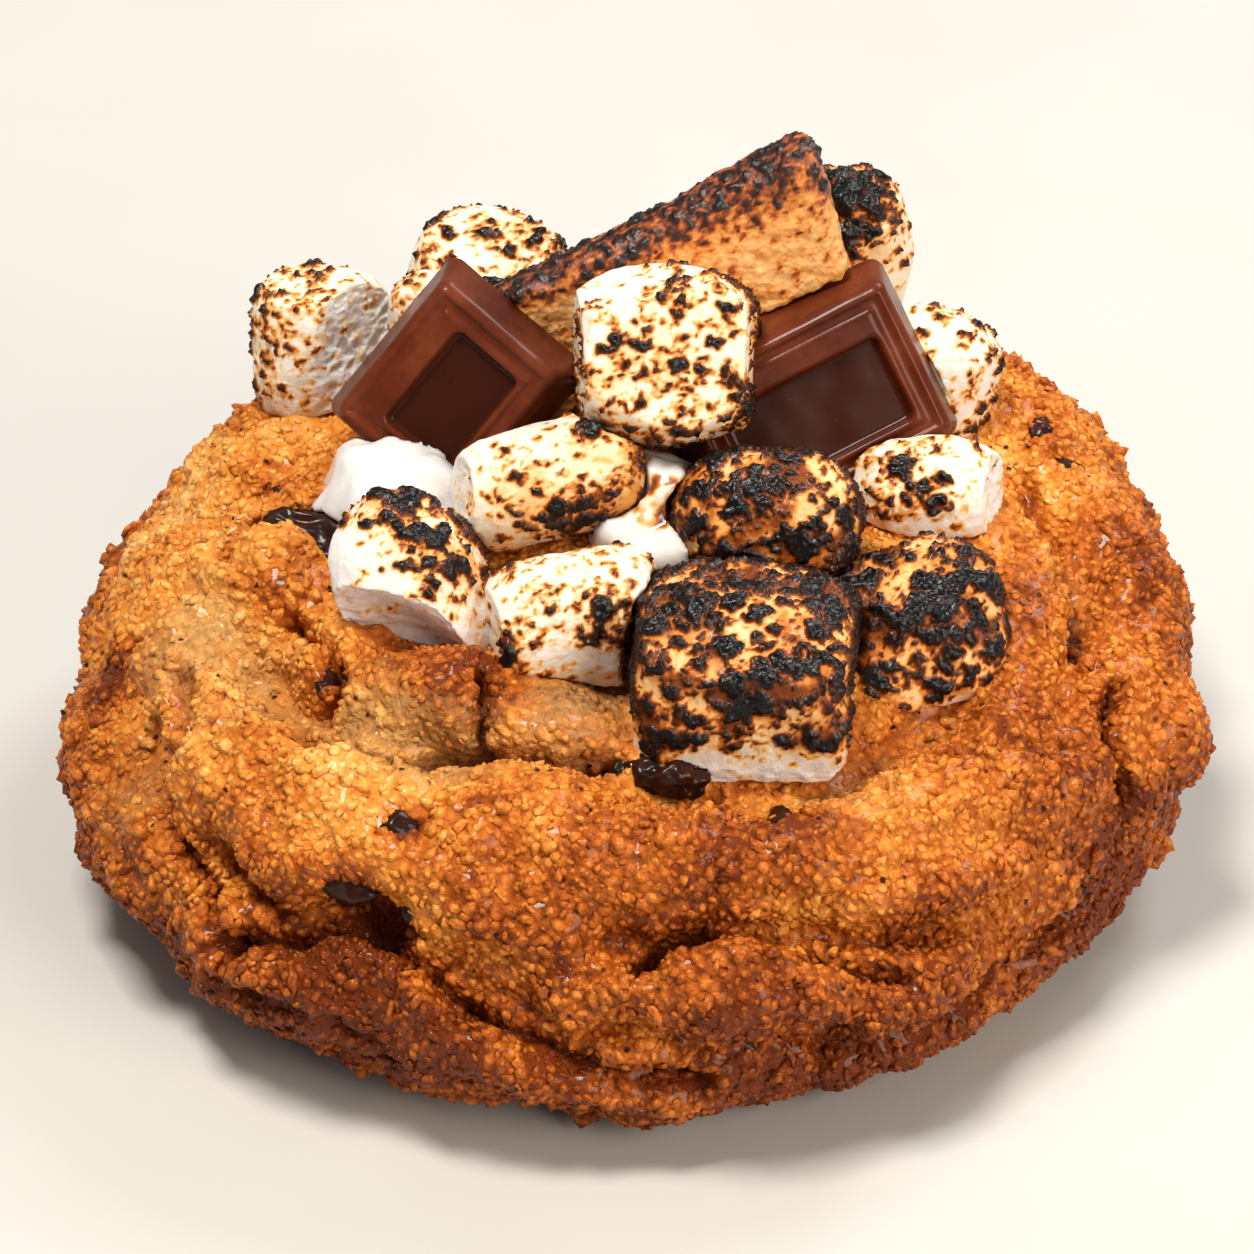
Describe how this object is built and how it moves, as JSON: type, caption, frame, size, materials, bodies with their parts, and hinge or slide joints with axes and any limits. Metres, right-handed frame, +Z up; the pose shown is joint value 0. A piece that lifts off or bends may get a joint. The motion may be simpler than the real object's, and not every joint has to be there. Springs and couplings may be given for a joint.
{
  "type": "s'mores cookie",
  "caption": "Thick craggy round cookie topped with toasted marshmallows, moulded chocolate squares and a charred piece of graham cracker; rests flat.",
  "frame": {"origin": "on the flat underside of the cookie, on the upright axis of its round body", "axes": "+Z up, square to the flat underside; -Y toward the viewer of the picture, where the largest charred marshmallow sits; +X to the viewer's right"},
  "size_m": [0.1044, 0.1059, 0.0654],
  "materials": {
    "cookie": "golden to reddish brown baked crust, grainy with sugar, slightly glossy",
    "marshmallow": "soft white, toasted golden with raised black charred blisters",
    "melted_marshmallow": "glossy melted white",
    "chocolate": "glossy moulded milk chocolate",
    "dark_chocolate": "shiny half-melted dark chocolate",
    "graham": "porous baked cracker, black and crusty along its charred edges"
  },
  "bodies": {
    "root": {"chocolate_chunk_front": "dark_chocolate", "chocolate_chunk_left": "dark_chocolate", "chocolate_left": "chocolate", "chocolate_right": "chocolate", "cookie": "cookie", "graham_cracker": "graham", "marshmallow_back_left": "marshmallow", "marshmallow_back_right": "marshmallow", "marshmallow_back_small": "marshmallow", "marshmallow_centre": "marshmallow", "marshmallow_centre_left": "marshmallow", "marshmallow_centre_right": "marshmallow", "marshmallow_far_left": "marshmallow", "marshmallow_far_right": "marshmallow", "marshmallow_front": "marshmallow", "marshmallow_front_left": "marshmallow", "marshmallow_front_right": "marshmallow", "marshmallow_left": "marshmallow", "marshmallow_right": "marshmallow", "melted_left": "melted_marshmallow", "melted_middle": "melted_marshmallow"}
  },
  "joints": []
}
